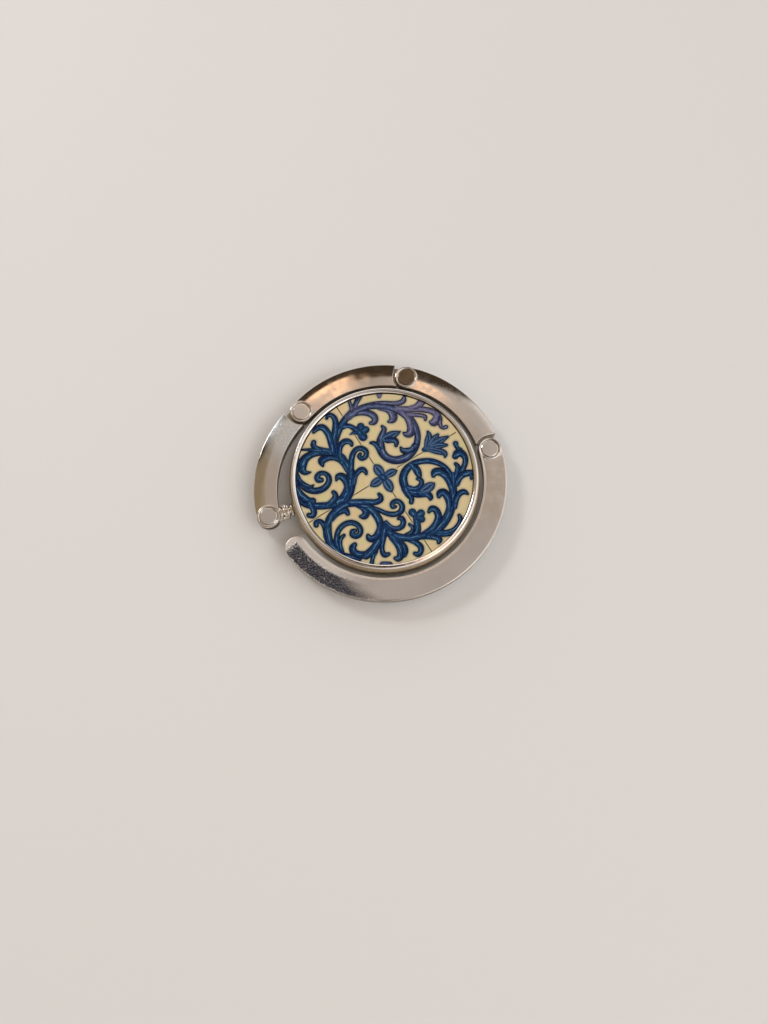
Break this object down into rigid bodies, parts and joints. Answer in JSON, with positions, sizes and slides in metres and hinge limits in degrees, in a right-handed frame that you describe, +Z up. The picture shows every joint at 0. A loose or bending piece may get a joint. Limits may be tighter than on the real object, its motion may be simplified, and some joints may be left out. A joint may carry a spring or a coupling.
{
  "type": "folding purse hook",
  "caption": "Folding table hook for a purse: a printed round disc with a rubber pad, and a chain of hinged links that folds round it as a ring and opens into a hook.",
  "frame": {"origin": "centre of the grip pad's underside, where the disc stands on the table", "axes": "+Z up out of the printed face, and -Y towards the viewer of the picture, so that the swivel is at the left"},
  "size_m": [0.0612, 0.0592, 0.0078],
  "materials": {
    "plated_casting": "polished nickel plate on die-cast zinc, with fine scratches",
    "plated_steel": "polished nickel plate on steel",
    "printed_card": "card printed with a blue scroll tile pattern on cream",
    "clear_resin": "clear poured resin, glossy",
    "tape": "double-sided tape",
    "rubber": "matt black rubber",
    "magnet": "nickel-plated sintered magnet"
  },
  "bodies": {
    "disc": {"base_disc": "plated_casting", "print_tape": "tape", "print_disc": "printed_card", "clear_dome": "clear_resin", "base_plate": "plated_steel", "pad_tape": "tape", "grip_pad": "rubber", "disc_magnet": "magnet", "swivel_bush": "plated_steel", "stem_washer": "plated_steel"},
    "knuckle": {"swivel_knuckle": "plated_casting"},
    "first_link": {"link_1": "plated_casting", "hinge_pin_1": "plated_steel"},
    "second_link": {"link_2": "plated_casting", "hinge_pin_2": "plated_steel"},
    "third_link": {"link_3": "plated_casting", "hinge_pin_3": "plated_steel"},
    "hook": {"hook_link": "plated_casting", "hinge_pin_4": "plated_steel", "hook_magnet": "magnet"}
  },
  "joints": [
    {"name": "swivel", "type": "hinge", "parent": "disc", "child": "knuckle", "pos_m": [-0.02179, -0.00737, 0.0038], "axis": [-0.9473, -0.3203, 0], "continuous": true},
    {"name": "hinge_1", "type": "hinge", "parent": "knuckle", "child": "first_link", "pos_m": [-0.02776, -0.00938, 0.0038], "axis": [0, 0, 1], "range_deg": [0, 23]},
    {"name": "hinge_2", "type": "hinge", "parent": "first_link", "child": "second_link", "pos_m": [-0.02065, 0.01708, 0.0038], "axis": [0, 0, 1], "range_deg": [0, 16]},
    {"name": "hinge_3", "type": "hinge", "parent": "second_link", "child": "third_link", "pos_m": [0.00516, 0.0263, 0.0038], "axis": [0, 0, 1], "range_deg": [0, 53]},
    {"name": "hinge_4", "type": "hinge", "parent": "third_link", "child": "hook", "pos_m": [0.02557, 0.00801, 0.0038], "axis": [0, 0, 1], "range_deg": [0, 75]}
  ],
  "couplings": [
    {"joint": "hinge_3", "follows": "hinge_4", "ratio": 0.7},
    {"joint": "hinge_2", "follows": "hinge_4", "ratio": 0.2},
    {"joint": "hinge_1", "follows": "hinge_4", "ratio": 0.3}
  ]
}
